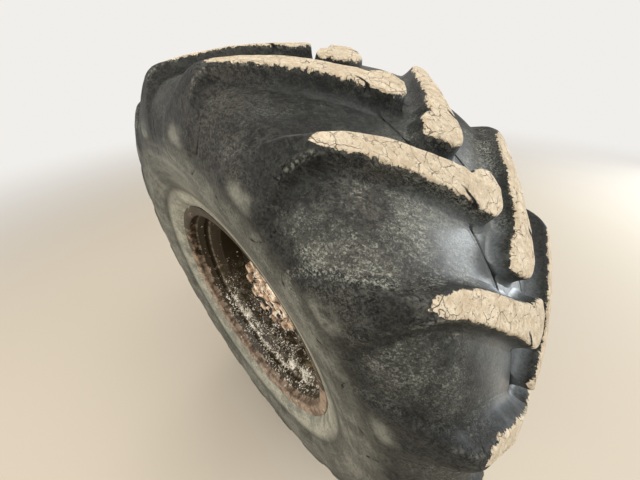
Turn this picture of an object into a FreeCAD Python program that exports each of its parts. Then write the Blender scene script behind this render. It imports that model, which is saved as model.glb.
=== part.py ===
import FreeCAD, Part
import math
import os
import Sketcher
from FreeCAD import Placement, Rotation, Vector

# Wheel of a site dumper on the axle end that carries it, in millimetres.
# The wheel turns about Y. Outboard is -Y, forward is +X and up is +Z.
# The origin is the centre of the flange face that bolts to the axle's centre housing.
# Profiles are drawn about the wheel's centre plane: radius along X, distance across along Y.

doc = FreeCAD.newDocument("DumperWheel")
sheet = doc.addObject("Spreadsheet::Sheet", "Sizes")

# Driving dimensions. Columns: name, value in millimetres or degrees, note.
sizeTable = [
    ("centre_offset", 300.0, "axle flange face to the wheel's centre plane"),
    ("fit_gap", 0.3, "clearance between seated round pieces"),
    ("running_gap", 0.08, "radial clearance of the hub on its spindle"),
    ("seat_diameter", 571.5, "bead seat at the flange, 22.5 inch"),
    ("rim_width", 406.4, "between the rim flanges, 16 inch"),
    ("flange_height", 12.7, "rim flange above the bead seat"),
    ("flange_thickness", 4.5, "rim flange plate at its lip"),
    ("rim_wall", 8.0, "rim barrel plate"),
    ("seat_taper", 15.0, "taper of the bead seats, degrees"),
    ("seat_length", 46.0, "bead seat along the axis"),
    ("well_depth", 26.4, "toe of the bead seat down to the drop centre"),
    ("well_run", 24.0, "slope from seat to drop centre, along the axis"),
    ("disc_face", 30.0, "outboard face of the nave disc from the centre plane"),
    ("disc_plate", 14.0, "nave disc plate"),
    ("disc_dish", 36.0, "how far the disc's edge stands outboard of its face"),
    ("disc_land", 4.0, "flat of the disc beyond the hub flange"),
    ("disc_lip", 10.0, "flat ring at the disc's welded edge"),
    ("pilot_radius", 140.5, "hub pilot that centres the disc"),
    ("pilot_length", 32.0, "pilot beyond the disc's face"),
    ("stud_land", 27.0, "pilot to the circle of the wheel studs"),
    ("stud_edge", 26.0, "circle of the wheel studs to the hub flange's edge"),
    ("stud_count", 10.0, "wheel studs"),
    ("stud_radius", 10.0, "wheel stud"),
    ("stud_proud", 10.0, "wheel stud beyond its nut"),
    ("nut_flats", 32.0, "wheel nut across flats"),
    ("nut_length", 24.0, "wheel nut"),
    ("hub_flange_plate", 22.0, "hub flange"),
    ("barrel_step", 40.5, "pilot radius less the hub barrel's radius"),
    ("barrel_length", 98.0, "hub barrel on the inboard side of its flange"),
    ("nose_wall", 18.0, "hub nose beyond the blind end of its bore"),
    ("cover_step", 22.5, "pilot radius less the cover's radius"),
    ("cover_depth", 56.0, "final drive cover along the axis"),
    ("cover_chamfer", 5.0, "edge of the cover's face"),
    ("cover_bolt_edge", 17.0, "cover bolts in from the cover's edge"),
    ("cover_bolt_count", 12.0, "cover bolts"),
    ("cover_bolt_flats", 24.0, "cover bolt head across flats"),
    ("cover_bolt_head", 11.0, "cover bolt head height"),
    ("dome_land", 25.0, "circle of the cover bolts to the middle of the boss's slope"),
    ("dome_height", 14.0, "boss above the cover's face"),
    ("dome_slope", 10.0, "sloped edge of the boss, along the radius"),
    ("plug_flats", 22.0, "oil plug across flats"),
    ("plug_head", 8.0, "oil plug head height"),
    ("spindle_radius", 55.0, "journal inside the hub"),
    ("spindle_end_gap", 6.0, "spindle end to the blind end of the hub's bore"),
    ("hub_side_gap", 6.0, "hub barrel to the spindle flange"),
    ("spindle_flange_radius", 122.0, "spindle flange bolted to the arm"),
    ("spindle_flange_plate", 18.0, "spindle flange"),
    ("spindle_bolt_edge", 19.0, "spindle bolts in from the flange's edge"),
    ("spindle_bolt_count", 12.0, "spindle flange bolts"),
    ("spindle_bolt_flats", 22.0, "spindle bolt head across flats"),
    ("spindle_bolt_head", 10.0, "spindle bolt head height"),
    ("arm_end_plate", 20.0, "flange at the outboard end of the arm"),
    ("arm_end_step", 52.0, "that flange's radius less the arm tube's"),
    ("axle_bolt_circle", 230.0, "pitch circle of the axle flange holes"),
    ("axle_bolt_count", 8.0, "axle flange holes"),
    ("axle_bolt_hole", 9.5, "radius of an axle flange hole"),
    ("axle_bolt_edge", 20.0, "circle of the axle flange holes to the flange's edge"),
    ("axle_flange_plate", 24.0, "axle flange"),
    ("arm_root_step", 23.0, "circle of the axle flange holes to the foot of the arm's flare"),
    ("arm_root_run", 34.0, "flare of the arm into its flange, along the axis"),
    ("arm_bore_radius", 38.0, "bore that the half shaft enters"),
    ("arm_bore_depth", 60.0, "depth of that bore"),
    ("tyre_radius", 557.7, "lug tops at the centre line"),
    ("tread_half", 190.0, "centre line to the edge of the lug tops"),
    ("tread_drop", 14.5, "fall of the lug tops from centre line to edge"),
    ("shoulder_reach", 46.0, "edge of the lug tops to the widest point of the sidewall"),
    ("widest_share", 0.53, "height of that widest point, of the sidewall's height"),
    ("carcass_wall", 17.0, "sidewall thickness"),
    ("carcass_crown", 26.0, "crown thickness under the groove floor"),
    ("bead_width", 38.0, "bead along the seat"),
    ("lug_count", 18.0, "lugs on each side"),
    ("facets_per_lug", 3.0, "flat facets of the carcass in one lug pitch"),
    ("lug_height", 28.0, "lug tops above the groove floor"),
    ("lug_root", 9.0, "how deep a lug's root is sunk in the carcass"),
    ("lug_draft", 5.0, "how much wider a lug's root is than its top, each flank"),
    ("first_tip", 83.5, "angle of the first outboard lug's tip, degrees from +X to +Z"),
    ("valve_radius", 4.5, "valve stem"),
    ("valve_length", 44.0, "valve stem"),
    ("valve_nut", 17.0, "valve nut across flats"),
    ("valve_cap", 11.0, "valve cap across flats"),
]
for row, (alias, value, note) in enumerate(sizeTable, start=1):
    sheet.set(f"A{row}", alias)
    sheet.set(f"B{row}", f"{value:g}")
    sheet.set(f"C{row}", note)
    sheet.setAlias(f"B{row}", alias)
doc.recompute()


def size(alias):
    return float(sheet.get(alias))


def plane(body, role):
    return next(feature for feature in body.Origin.OriginFeatures if feature.Role == role)


def newBody(label):
    body = doc.addObject("PartDesign::Body", label.title().replace("_", ""))
    body.Label = label
    body.setExpression("Placement.Base.y", "-Sizes.centre_offset")
    return body


def revolvedBody(label, corners):
    """Body turned about Y from a closed outline of (radius, across) formulas."""
    body = newBody(label)
    sketch = body.newObject("Sketcher::SketchObject", body.Name + "Outline")
    sketch.AttachmentSupport = [(plane(body, "XY_Plane"), "")]
    sketch.MapMode = "FlatFace"
    count = len(corners)
    # Sides are drawn in a ring first, then each corner's formulas pull it to its place.
    middle = size("seat_diameter") / 2
    turns = [2 * math.pi * turn / count for turn in range(count)]
    ring = [Vector(middle * (2 + math.cos(turn)), middle * math.sin(turn), 0) for turn in turns]
    sides = [Part.LineSegment(ring[turn], ring[(turn + 1) % count]) for turn in range(count)]
    sketch.addGeometry(sides, False)
    joins = [Sketcher.Constraint("Coincident", turn, 2, (turn + 1) % count, 1) for turn in range(count)]
    sketch.addConstraint(joins)
    for turn, (radius, across) in enumerate(corners):
        index = sketch.addConstraint(Sketcher.Constraint("DistanceX", -1, 1, turn, 1, ring[turn].x))
        sketch.setExpression(f"Constraints[{index}]", radius)
        index = sketch.addConstraint(Sketcher.Constraint("DistanceY", -1, 1, turn, 1, ring[turn].y))
        sketch.setExpression(f"Constraints[{index}]", across)
    doc.recompute()
    turned = body.newObject("PartDesign::Revolution", body.Name + "Turned")
    turned.Profile = sketch
    turned.ReferenceAxis = (sketch, ["V_Axis"])
    turned.Angle = 360
    doc.recompute()
    return body


def drillRing(body, holeRadius, pitchCircle, count):
    """Through holes on a circle about Y, cut both ways from the centre plane of the body."""
    sketch = body.newObject("Sketcher::SketchObject", body.Name + "Hole")
    sketch.AttachmentSupport = [(plane(body, "XZ_Plane"), "")]
    sketch.MapMode = "FlatFace"
    startRadius = size("spindle_radius")
    startHole = Part.Circle(Vector(startRadius, 0, 0), Vector(0, 0, 1), startRadius / 10)
    sketch.addGeometry(startHole, False)
    index = sketch.addConstraint(Sketcher.Constraint("Radius", 0, startRadius / 10))
    sketch.setExpression(f"Constraints[{index}]", holeRadius)
    index = sketch.addConstraint(Sketcher.Constraint("DistanceX", -1, 1, 0, 3, startRadius))
    sketch.setExpression(f"Constraints[{index}]", pitchCircle + " / 2")
    sketch.addConstraint(Sketcher.Constraint("PointOnObject", 0, 3, -1))
    doc.recompute()
    before = body.Shape.Volume
    cut = body.newObject("PartDesign::Pocket", body.Name + "Drilled")
    cut.Profile = sketch
    cut.Type = "ThroughAll"
    cut.Midplane = True
    doc.recompute()
    if body.Shape.Volume >= before:
        raise ValueError(body.Label + ": the hole cuts nothing")
    pattern = body.newObject("PartDesign::PolarPattern", body.Name + "Ring")
    pattern.Originals = [cut]
    pattern.Axis = (plane(body, "Y_Axis"), [""])
    pattern.Angle = 360
    pattern.setExpression("Occurrences", count)
    body.Tip = pattern
    doc.recompute()
    return body


def setShape(label, shape):
    """Piece shaped by code, in the wheel's own frame."""
    piece = doc.addObject("Part::Feature", label.title().replace("_", ""))
    piece.Label = label
    piece.Shape = shape
    piece.Placement = Placement(Vector(0, -size("centre_offset"), 0), Rotation()).multiply(shape.Placement)
    return piece


def around(shape, count, first=0.0):
    """Copies of a shape about Y, the first turned by an angle in degrees."""
    copies = []
    for turn in range(int(count)):
        copy = shape.copy()
        copy.rotate(Vector(0, 0, 0), Vector(0, 1, 0), first + 360.0 * turn / int(count))
        copies.append(copy)
    return copies


def hexagon(flats, length, place):
    """Hexagonal prism whose axis is Y, from its inboard face outboard."""
    reach = flats / math.sqrt(3)
    corners = [Vector(reach * math.cos(math.radians(60 * turn)), 0, reach * math.sin(math.radians(60 * turn)))
               for turn in range(7)]
    prism = Part.Face(Part.makePolygon(corners)).extrude(Vector(0, -length, 0))
    prism.translate(place)
    return prism


def rod(radius, length, place):
    """Round bar whose axis is Y, from its inboard end outboard."""
    return Part.makeCylinder(radius, length, place, Vector(0, -1, 0))


# Rim: drop centre barrel, the same on both sides of the centre plane.
seat = "Sizes.seat_diameter / 2"
seatDrop = "Sizes.seat_length * tan(Sizes.seat_taper * 1 deg)"
halfRim = "Sizes.rim_width / 2"
lip = halfRim + " + Sizes.flange_thickness"
toe = halfRim + " - Sizes.seat_length"
well = toe + " - Sizes.well_run"
wellRadius = f"{seat} - {seatDrop} - Sizes.well_depth"
outerSide = [
    (seat + " + Sizes.flange_height", lip),
    (seat + " + Sizes.flange_height", halfRim),
    (seat, halfRim),
    (f"{seat} - {seatDrop}", toe),
    (wellRadius, well),
]
innerSide = [
    (wellRadius + " - Sizes.rim_wall", well + " - Sizes.rim_wall / 3"),
    (f"{seat} - {seatDrop} - Sizes.rim_wall", toe),
    (seat + " - Sizes.rim_wall", lip),
]
mirroredOuter = [(radius, f"-({across})") for radius, across in reversed(outerSide)]
mirroredInner = [(radius, f"-({across})") for radius, across in reversed(innerSide)]
revolvedBody("rim", outerSide + mirroredOuter + mirroredInner + innerSide)

# Nave disc: dished plate welded into the drop centre.
discFront = "-Sizes.disc_face"
discBack = discFront + " + Sizes.disc_plate"
discEdge = f"{wellRadius} - Sizes.rim_wall - Sizes.fit_gap"
hubFlange = "Sizes.pilot_radius + Sizes.stud_land + Sizes.stud_edge"
discFlat = hubFlange + " + Sizes.disc_land"
revolvedBody("wheel_disc", [
    ("Sizes.pilot_radius + Sizes.fit_gap", discFront),
    (discFlat, discFront),
    (discEdge + " - Sizes.disc_lip", discFront + " - Sizes.disc_dish"),
    (discEdge, discFront + " - Sizes.disc_dish"),
    (discEdge, discBack + " - Sizes.disc_dish"),
    (discFlat + " + Sizes.disc_plate / 3", discBack),
    ("Sizes.pilot_radius + Sizes.fit_gap", discBack),
])

# Hub: flange behind the disc, pilot through it, barrel inboard, blind bore for the spindle.
hubNose = discFront + " - Sizes.pilot_length"
hubFloor = hubNose + " + Sizes.nose_wall"
flangeRear = discBack + " + Sizes.hub_flange_plate"
barrelEnd = flangeRear + " + Sizes.barrel_length"
barrelRadius = "Sizes.pilot_radius - Sizes.barrel_step"
hubBore = "Sizes.spindle_radius + Sizes.running_gap"
revolvedBody("wheel_hub", [
    ("0", hubFloor),
    ("0", hubNose),
    ("Sizes.pilot_radius", hubNose),
    ("Sizes.pilot_radius", discBack),
    (hubFlange, discBack),
    (hubFlange, flangeRear),
    (barrelRadius, flangeRear),
    (barrelRadius, barrelEnd),
    (hubBore, barrelEnd),
    (hubBore, hubFloor),
])

# Final drive cover on the hub's nose, with a raised boss.
coverRadius = "Sizes.pilot_radius - Sizes.cover_step"
coverFace = hubNose + " - Sizes.cover_depth"
bossMiddle = coverRadius + " - Sizes.cover_bolt_edge - Sizes.dome_land"
revolvedBody("hub_cover", [
    ("0", hubNose),
    (coverRadius, hubNose),
    (coverRadius, coverFace + " + Sizes.cover_chamfer"),
    (coverRadius + " - Sizes.cover_chamfer", coverFace),
    (bossMiddle + " + Sizes.dome_slope / 2", coverFace),
    (bossMiddle + " - Sizes.dome_slope / 2", coverFace + " - Sizes.dome_height"),
    ("0", coverFace + " - Sizes.dome_height"),
])

# Spindle: flange on the arm and the journal that carries the hub.
spindleFace = barrelEnd + " + Sizes.hub_side_gap"
spindleBack = spindleFace + " + Sizes.spindle_flange_plate"
spindleEnd = hubFloor + " + Sizes.spindle_end_gap"
revolvedBody("spindle", [
    ("0", spindleEnd),
    ("Sizes.spindle_radius", spindleEnd),
    ("Sizes.spindle_radius", spindleFace),
    ("Sizes.spindle_flange_radius", spindleFace),
    ("Sizes.spindle_flange_radius", spindleBack),
    ("0", spindleBack),
])

# Axle arm: cast tube with a flange at each end, bored for the half shaft.
armEnd = spindleBack + " + Sizes.arm_end_plate"
flangeBack = "Sizes.centre_offset - Sizes.axle_flange_plate"
axleFlange = "Sizes.axle_bolt_circle / 2 + Sizes.axle_bolt_edge"
boreFloor = "Sizes.centre_offset - Sizes.arm_bore_depth"
arm = revolvedBody("axle_arm", [
    ("0", spindleBack),
    ("Sizes.spindle_flange_radius", spindleBack),
    ("Sizes.spindle_flange_radius", armEnd),
    ("Sizes.spindle_flange_radius - Sizes.arm_end_step", armEnd),
    ("Sizes.spindle_flange_radius - Sizes.arm_end_step", flangeBack + " - Sizes.arm_root_run"),
    ("Sizes.axle_bolt_circle / 2 - Sizes.arm_root_step", flangeBack),
    (axleFlange, flangeBack),
    (axleFlange, "Sizes.centre_offset"),
    ("Sizes.arm_bore_radius", "Sizes.centre_offset"),
    ("Sizes.arm_bore_radius", boreFloor),
    ("0", boreFloor),
])
drillRing(arm, "Sizes.axle_bolt_hole", "Sizes.axle_bolt_circle", "Sizes.axle_bolt_count")

# Fasteners: one of each is made, then set round its circle.
discAcross = -size("disc_face")
noseAcross = discAcross - size("pilot_length")
coverAcross = noseAcross - size("cover_depth")
hubRear = discAcross + size("disc_plate") + size("hub_flange_plate") + size("barrel_length")
armAcross = hubRear + size("hub_side_gap") + size("spindle_flange_plate") + size("arm_end_plate")

studCircle = size("pilot_radius") + size("stud_land")
nut = hexagon(size("nut_flats"), size("nut_length"), Vector(studCircle, discAcross, 0))
studEnd = rod(size("stud_radius"), size("nut_length") + size("stud_proud"), Vector(studCircle, discAcross, 0))
nutOnStud = nut.fuse(studEnd).removeSplitter()
setShape("wheel_nuts", Part.makeCompound(around(nutOnStud, size("stud_count"))))

coverCircle = size("pilot_radius") - size("cover_step") - size("cover_bolt_edge")
coverBolt = hexagon(size("cover_bolt_flats"), size("cover_bolt_head"), Vector(coverCircle, coverAcross, 0))
setShape("cover_bolts", Part.makeCompound(around(coverBolt, size("cover_bolt_count"))))

bossTop = Vector(0, coverAcross - size("dome_height"), 0)
setShape("oil_plug", hexagon(size("plug_flats"), size("plug_head"), bossTop))

spindleCircle = size("spindle_flange_radius") - size("spindle_bolt_edge")
spindleHead = Vector(spindleCircle, armAcross + size("spindle_bolt_head"), 0)
spindleBolt = hexagon(size("spindle_bolt_flats"), size("spindle_bolt_head"), spindleHead)
setShape("spindle_bolts", Part.makeCompound(around(spindleBolt, size("spindle_bolt_count"))))

# Valve: square to the slope of the drop centre on the outboard side, with its nut and cap.
taper = math.tan(math.radians(size("seat_taper")))
toeRadius = size("seat_diameter") / 2 - size("seat_length") * taper
toeAcross = size("rim_width") / 2 - size("seat_length")
slopeLow = Vector(toeRadius - size("well_depth") - size("rim_wall"),
                  -toeAcross + size("well_run") + size("rim_wall") / 3, 0)
slopeHigh = Vector(toeRadius - size("rim_wall"), -toeAcross, 0)
along = (slopeHigh - slopeLow).normalize()
outward = Vector(along.y, -along.x, 0)
seatPoint = (slopeLow + slopeHigh) / 2 + outward * size("fit_gap")
nutHeight = size("valve_nut") / 2
valve = hexagon(size("valve_nut"), nutHeight, Vector(0, 0, 0))
valve = valve.fuse(rod(size("valve_radius"), size("valve_length"), Vector(0, 0, 0)))
valveCap = hexagon(size("valve_cap"), size("valve_cap"), Vector(0, -size("valve_length"), 0))
valve = valve.fuse(valveCap).removeSplitter()
valve.Placement = Placement(seatPoint, Rotation(Vector(0, -1, 0), outward))
setShape("valve_stem", valve)

# Tyre carcass: hollow, seated on the rim, its outline the floor of the grooves.
floorRadius = size("tyre_radius") - size("lug_height")
edgeFloor = floorRadius - size("tread_drop") * 0.8
beadFace = size("rim_width") / 2 - size("fit_gap")
# The middles of the flat facets, not their corners, clear the round rim.
facetCount = int(size("lug_count") * size("facets_per_lug"))
facetSwell = 1 / math.cos(math.pi / facetCount)
beadHeel = (size("seat_diameter") / 2 + size("fit_gap")) * facetSwell
beadToe = beadHeel - size("bead_width") * taper
rimTop = (size("seat_diameter") / 2 + size("flange_height") + size("fit_gap")) * facetSwell
wide = size("tread_half") + size("shoulder_reach")
wideRadius = rimTop + (edgeFloor - rimTop) * size("widest_share")
above = edgeFloor - wideRadius
below = wideRadius - rimTop
inner = wide - size("carcass_wall")
# From the centre line round the outside to the bead, then back inside. Columns: across, radius.
halfOutline = [
    (0.0, floorRadius),
    (size("tread_half") - 6.0, edgeFloor),
    (wide - 13.0, wideRadius + above * 0.56),
    (wide, wideRadius),
    (wide - 7.0, wideRadius - below * 0.41),
    (beadFace, rimTop),
    (beadFace, beadHeel),
    (beadFace - size("bead_width"), beadToe),
    (inner - 2.0, wideRadius + above * 0.1),
    (size("tread_half") - 10.0, edgeFloor - size("carcass_crown")),
]
otherHalf = [(-across, radius) for across, radius in reversed(halfOutline) if across > 0]


def polar(across, radius, angle):
    """Point on the tyre at an angle in degrees from +X towards +Z."""
    return Vector(radius * math.cos(math.radians(angle)), across, radius * math.sin(math.radians(angle)))


# Flat facets between equal outlines, some to each lug pitch.
rings = [[polar(across, radius, 360.0 * turn / facetCount) for across, radius in halfOutline + otherHalf]
         for turn in range(facetCount)]
carcassFaces = []
for near, far in zip(rings, rings[1:] + rings[:1]):
    for corner in range(len(near)):
        following = (corner + 1) % len(near)
        quad = [near[corner], near[following], far[following], far[corner], near[corner]]
        carcassFaces.append(Part.Face(Part.makePolygon(quad)))
carcass = Part.makeSolid(Part.makeShell(carcassFaces))


def crownRadius(across):
    return size("tyre_radius") - size("tread_drop") * (across / size("tread_half")) ** 2


# One outboard lug, from its hooked head across the centre line to where it fades in the sidewall.
# Angles are in degrees from the lug's tip. Columns: across, trailing angle, leading angle.
edge = size("tread_half")
crownRows = [
    (-26.0, 4.9, 2.6),
    (-10.0, 6.2, 0.4),
    (24.0, 7.8, 0.4),
    (110.0, 15.6, 10.6),
]
# Over the shoulder. Columns: top beyond the crown's edge, top below it, root beyond the edge, root below
# the crown's root, trailing angle, leading angle.
shoulderRows = [
    (0.0, 0.0, -20.0, 0.0, 19.8, 17.0),
    (22.0, 31.0, -4.0, 12.0, 22.8, 17.6),
]
# Each section: top across, top radius, root across, root radius, trailing angle, leading angle.
sunk = size("lug_height") + size("lug_root")
edgeTop = crownRadius(edge)
lugSections = [(across, crownRadius(across), across, crownRadius(across) - sunk, trailing, leading)
               for across, trailing, leading in crownRows]
lugSections += [(edge + topOut, edgeTop - topDown, edge + rootOut, edgeTop - sunk - rootDown, trailing, leading)
                for topOut, topDown, rootOut, rootDown, trailing, leading in shoulderRows]
lugSections.append((wide - 1.5, wideRadius + above * 0.33, wide - 22.0, wideRadius + above * 0.3, 27.6, 17.0))
draft = math.degrees(size("lug_draft") / size("tyre_radius"))


def lugCorners(section):
    topAcross, topRadius, rootAcross, rootRadius, trailing, leading = section
    return [
        polar(-rootAcross, rootRadius, trailing + draft),
        polar(-topAcross, topRadius, trailing),
        polar(-topAcross, topRadius, leading),
        polar(-rootAcross, rootRadius, leading - draft),
    ]


def facetedLoft(sections):
    """Solid between four-cornered sections, each side split into two flat faces."""
    rows = [lugCorners(section) for section in sections]
    faces = [Part.Face(Part.makePolygon(row + row[:1])) for row in (rows[0], rows[-1])]
    for near, far in zip(rows, rows[1:]):
        for turn in range(4):
            following = (turn + 1) % 4
            start, end = near[turn], far[following]
            faces.append(Part.Face(Part.makePolygon([start, near[following], end, start])))
            faces.append(Part.Face(Part.makePolygon([start, end, far[turn], start])))
    return Part.makeSolid(Part.makeShell(faces))


lug = facetedLoft(lugSections)
if carcass.Volume < 0:
    carcass.reverse()
if lug.Volume < 0:
    lug.reverse()
outboardLugs = around(lug, size("lug_count"), -size("first_tip"))
inboardLug = lug.mirror(Vector(0, 0, 0), Vector(0, 1, 0))
halfPitch = 180.0 / size("lug_count")
inboardLugs = around(inboardLug, size("lug_count"), -size("first_tip") - halfPitch)
setShape("tyre", carcass.multiFuse(outboardLugs + inboardLugs))
doc.recompute()

os.makedirs("parts", exist_ok=True)
pieces = [item for item in doc.Objects
          if item.TypeId in ("PartDesign::Body", "Part::Feature") and item.Label != "Sizes"]
for item in doc.Objects:
    if "Invalid" in item.State or "Error" in item.State:
        raise ValueError(item.Label + ": " + str(item.State))
for piece in pieces:
    shape = piece.Shape
    if shape.isNull() or not shape.isValid():
        raise ValueError(piece.Label + ": the shape isn't valid")
    box = shape.BoundBox
    print(f"{piece.Label:16s} solids {len(shape.Solids):3d} faces {len(shape.Faces):4d} "
          f"volume {shape.Volume / 1e6:8.3f} l  y {box.YMin:8.1f} {box.YMax:8.1f} "
          f"z {box.ZMin:8.1f} {box.ZMax:8.1f}")
for piece in pieces:
    piece.Shape.exportStep(f"parts/{piece.Label}.step")
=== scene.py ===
import math
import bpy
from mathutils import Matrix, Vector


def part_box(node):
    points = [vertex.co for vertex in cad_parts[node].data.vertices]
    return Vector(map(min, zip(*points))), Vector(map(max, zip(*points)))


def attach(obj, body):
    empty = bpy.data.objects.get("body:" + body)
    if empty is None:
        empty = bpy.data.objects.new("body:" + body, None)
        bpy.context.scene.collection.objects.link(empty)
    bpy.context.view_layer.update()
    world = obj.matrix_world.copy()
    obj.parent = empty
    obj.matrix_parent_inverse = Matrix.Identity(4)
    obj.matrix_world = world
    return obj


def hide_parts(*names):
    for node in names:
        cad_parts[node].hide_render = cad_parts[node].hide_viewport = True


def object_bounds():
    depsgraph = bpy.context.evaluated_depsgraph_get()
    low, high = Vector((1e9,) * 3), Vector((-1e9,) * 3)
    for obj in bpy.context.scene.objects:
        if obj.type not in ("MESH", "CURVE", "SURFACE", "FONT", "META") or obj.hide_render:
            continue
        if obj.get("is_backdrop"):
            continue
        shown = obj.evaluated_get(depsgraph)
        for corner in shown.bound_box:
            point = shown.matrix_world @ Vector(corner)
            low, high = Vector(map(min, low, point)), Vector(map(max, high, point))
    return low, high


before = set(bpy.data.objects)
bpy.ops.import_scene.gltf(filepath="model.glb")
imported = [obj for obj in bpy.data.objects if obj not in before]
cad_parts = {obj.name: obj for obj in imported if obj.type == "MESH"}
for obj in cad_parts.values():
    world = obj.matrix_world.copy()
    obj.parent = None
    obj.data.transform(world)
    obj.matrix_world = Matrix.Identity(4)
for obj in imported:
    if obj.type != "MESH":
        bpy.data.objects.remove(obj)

from types import SimpleNamespace

import bmesh
import bpy
import numpy as np
from mathutils import Matrix, Vector

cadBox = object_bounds()
print("frame loaded, its box:", [[round(side, 4) for side in corner] for corner in cadBox])

# Places read from the frame, in metres. The wheel turns about Y and its outboard side is -Y.
tyreLow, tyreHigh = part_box("tyre")
discLow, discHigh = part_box("wheel_disc")
coverLow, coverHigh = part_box("hub_cover")
wheelPlane = (tyreLow[1] + tyreHigh[1]) / 2
tyreRadius = tyreHigh[2]
lugCount = 18
lugPitch = 360 / lugCount


def between01(value):
    return max(0.0, min(1.0, value))


def meshObject(name, verts, faces, smooth=True):
    mesh = bpy.data.meshes.new(name)
    mesh.from_pydata([tuple(vert) for vert in verts], [], faces)
    mesh.update()
    if smooth:
        mesh.shade_smooth()
    obj = bpy.data.objects.new(name, mesh)
    bpy.context.scene.collection.objects.link(obj)
    return obj


def addAttributes(obj, **columns):
    # Values on the object's points: one for each point, or one for all.
    for name, values in columns.items():
        layer = obj.data.attributes.new(name, "FLOAT", "POINT")
        filled = np.broadcast_to(np.asarray(values, dtype=np.float32), len(obj.data.vertices))
        layer.data.foreach_set("value", np.ascontiguousarray(filled))


def smoothRows(rows, spacing):
    # Rows along a cubic through the given ones, evenly spaced by their first two columns.
    rows = np.asarray(rows, dtype=float)
    steps = np.linalg.norm(np.diff(rows[:, :2], axis=0), axis=1)
    along = np.concatenate([[0], np.cumsum(steps)])
    slopes = np.gradient(rows, along, axis=0)
    count = max(2, int(round(along[-1] / spacing)) + 1)
    result = []
    for place in np.linspace(0, along[-1], count):
        index = min(int(np.searchsorted(along, place, side="right")) - 1, len(rows) - 2)
        width = along[index + 1] - along[index]
        t = (place - along[index]) / width
        result.append((2 * t**3 - 3 * t**2 + 1) * rows[index] + (t**3 - 2 * t**2 + t) * width * slopes[index]
                      + (3 * t**2 - 2 * t**3) * rows[index + 1] + (t**3 - t**2) * width * slopes[index + 1])
    return np.array(result)


def closerRows(outline, longest):
    # More points along an outline, so that no step of it is longer than that.
    rows = [outline[0]]
    for start, end in zip(outline, outline[1:]):
        steps = math.ceil(math.dist(start, end) / longest)
        rows += [tuple(low + (high - low) * step / steps for low, high in zip(start, end))
                 for step in range(1, steps + 1)]
    return rows


def aroundAxle(across, radius, angle):
    return (radius * math.cos(angle), wheelPlane + across, radius * math.sin(angle))


def gridFaces(rows, columns, rowsClosed=False, columnsClosed=True):
    # Quads between rows of points. What is closed joins its last points to its first.
    faces = []
    for row in range(rows if rowsClosed else rows - 1):
        here, there = row * columns, (row + 1) % rows * columns
        for step in range(columns if columnsClosed else columns - 1):
            after = (step + 1) % columns
            faces.append((here + step, here + after, there + after, there + step))
    return faces


def endFaces(rows, columns):
    return [tuple(reversed(range(columns))), tuple(range((rows - 1) * columns, rows * columns))]


def outwards(obj):
    # The closed shell with its faces turned outwards.
    shell = bmesh.new()
    shell.from_mesh(obj.data)
    if shell.calc_volume(signed=True) < 0:
        obj.data.flip_normals()
    shell.free()
    return obj


def turned(name, outline, segments, sharp=None):
    # Closed ring turned about the wheel's axis from (across, radius) points, both in metres.
    verts = [aroundAxle(across, radius, 2 * math.pi * turn / segments)
             for turn in range(segments) for across, radius in outline]
    obj = outwards(meshObject(name, verts, gridFaces(segments, len(outline), rowsClosed=True)))
    if sharp is not None:
        obj.data.set_sharp_from_angle(angle=math.radians(sharp))
    return obj


def joined(name, pieces):
    with bpy.context.temp_override(active_object=pieces[0], object=pieces[0], selected_objects=pieces,
                                   selected_editable_objects=pieces):
        bpy.ops.object.join()
    pieces[0].name = name
    pieces[0].data.name = name
    return pieces[0]


def evaluatedMesh(obj):
    # The object as one plain mesh, with its modifiers applied and removed.
    graph = bpy.context.evaluated_depsgraph_get()
    mesh = bpy.data.meshes.new_from_object(obj.evaluated_get(graph), preserve_all_data_layers=True,
                                           depsgraph=graph)
    obj.modifiers.clear()
    obj.data = mesh
    return obj


def passedThrough(obj, tree, values):
    # The object after a Geometry Nodes tree whose inputs get the named values.
    modifier = obj.modifiers.new(tree.name, "NODES")
    modifier.node_group = tree
    for item in tree.interface.items_tree:
        if item.in_out == "INPUT" and item.name in values:
            modifier[item.identifier] = values[item.name]
    return evaluatedMesh(obj)


def finished(obj, body, replaced=()):
    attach(obj, body)
    if replaced:
        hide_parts(*replaced)
    print("made", obj.name, len(obj.data.polygons), "faces")
    return obj


class Field:
    # An output of a node. Sums, differences and products of fields add Math nodes to their tree.
    def __init__(self, socket):
        self.socket = socket
        self.tree = socket.id_data

    def beside(self, label):
        # Another output of the same node.
        return Field(self.socket.node.outputs[label])

    def __add__(self, other):
        return calc("ADD", self, other)

    def __radd__(self, other):
        return calc("ADD", other, self)

    def __sub__(self, other):
        return calc("SUBTRACT", self, other)

    def __rsub__(self, other):
        return calc("SUBTRACT", other, self)

    def __mul__(self, other):
        return calc("MULTIPLY", self, other)

    def __abs__(self):
        return calc("ABSOLUTE", self)


def treeOf(values):
    return next(value.tree for value in values if isinstance(value, Field))


def setIn(socket, value):
    if isinstance(value, Field):
        value.tree.links.new(value.socket, socket)
    else:
        socket.default_value = value


def made(tree, kind, inputs=(), output=0, **settings):
    # A new node with its settings and inputs. The result is the output that is asked for.
    node = tree.nodes.new(kind)
    for name, value in settings.items():
        setattr(node, name, value)
    for label, value in dict(inputs).items():
        setIn(node.inputs[label], value)
    return Field(node.outputs[output])


def calc(operation, *values, **settings):
    return made(treeOf(values), "ShaderNodeMath", enumerate(values), operation=operation, **settings)


def vectorCalc(operation, *values, output="Vector", **named):
    return made(treeOf(values), "ShaderNodeVectorMath", {**dict(enumerate(values)), **named}, output,
                operation=operation)


def combined(**parts):
    return made(treeOf(parts.values()), "ShaderNodeCombineXYZ", parts)


def separated(vector):
    first = made(vector.tree, "ShaderNodeSeparateXYZ", {"Vector": vector})
    return [first.beside(axis) for axis in "XYZ"]


def most(first, *others):
    for other in others:
        first = calc("MAXIMUM", first, other)
    return first


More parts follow.
